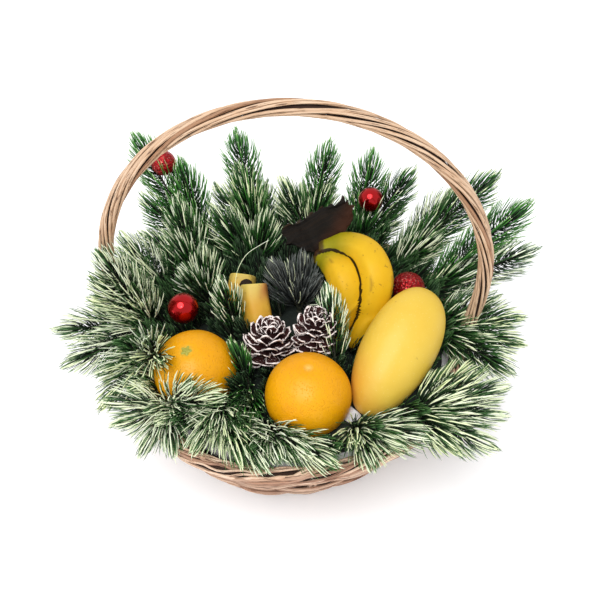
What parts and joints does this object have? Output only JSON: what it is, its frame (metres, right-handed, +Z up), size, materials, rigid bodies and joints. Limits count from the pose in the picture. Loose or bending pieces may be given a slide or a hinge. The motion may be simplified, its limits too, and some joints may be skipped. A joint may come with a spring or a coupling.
{
  "type": "gift basket",
  "caption": "Round wicker basket with a tall twisted handle, heaped with oranges, mango and bananas among frosted pine sprays, pine cones and red baubles.",
  "frame": {"origin": "middle of the basket's foot, on the ground", "axes": "+Z up; the handle's arch stands along X; the front, where the oranges lie, faces -Y"},
  "size_m": [0.4781, 0.3755, 0.3891],
  "materials": {
    "wicker": "peeled willow rods, matt with a slight sheen",
    "handle_rods": "twisted peeled willow rods, satin",
    "tissue_paper": "crumpled white tissue paper, matt",
    "pine_bed_green": "dark green foliage in shade",
    "frosted_pine": "green plastic needles with pale frosted tips",
    "orange_peel": "dimpled waxy peel",
    "mango_skin": "smooth waxy skin with fine pale dots",
    "banana_skin": "satin skin with brown marks and a dried brown stalk",
    "cone_scales": "dark brown scales with white painted edges",
    "bauble_gloss": "shiny red shell",
    "bauble_glitter": "red glitter coat"
  },
  "bodies": {
    "root": {"basket_floor": "wicker", "basket_wall": "wicker", "basket_rim": "wicker", "handle": "handle_rods", "orange_front": "orange_peel", "orange_left": "orange_peel", "mango": "mango_skin", "banana_hand": "banana_skin", "banana_left_front": "banana_skin", "banana_left_back": "banana_skin", "cone_left": "cone_scales", "cone_right": "cone_scales", "bauble_back_left": "bauble_glitter", "bauble_left": "bauble_gloss", "bauble_back_right": "bauble_gloss", "bauble_right": "bauble_glitter", "pine_bed": "pine_bed_green", "paper_filling": "tissue_paper", "pine_back_left": "frosted_pine", "pine_back_left_low": "frosted_pine", "pine_back": "frosted_pine", "pine_back_inner": "frosted_pine", "pine_back_middle": "frosted_pine", "pine_back_right": "frosted_pine", "pine_right_back": "frosted_pine", "pine_far_right": "frosted_pine", "pine_right": "frosted_pine", "pine_right_front": "frosted_pine", "pine_front_right": "frosted_pine", "pine_front": "frosted_pine", "pine_front_left": "frosted_pine", "pine_left_low": "frosted_pine", "pine_left_front": "frosted_pine", "pine_left": "frosted_pine", "pine_by_handle": "frosted_pine", "pine_left_back": "frosted_pine", "pine_left_inner": "frosted_pine", "pine_by_left_banana": "frosted_pine", "pine_over_banana": "frosted_pine", "pine_middle": "frosted_pine", "pine_between_oranges": "frosted_pine"}
  },
  "joints": []
}
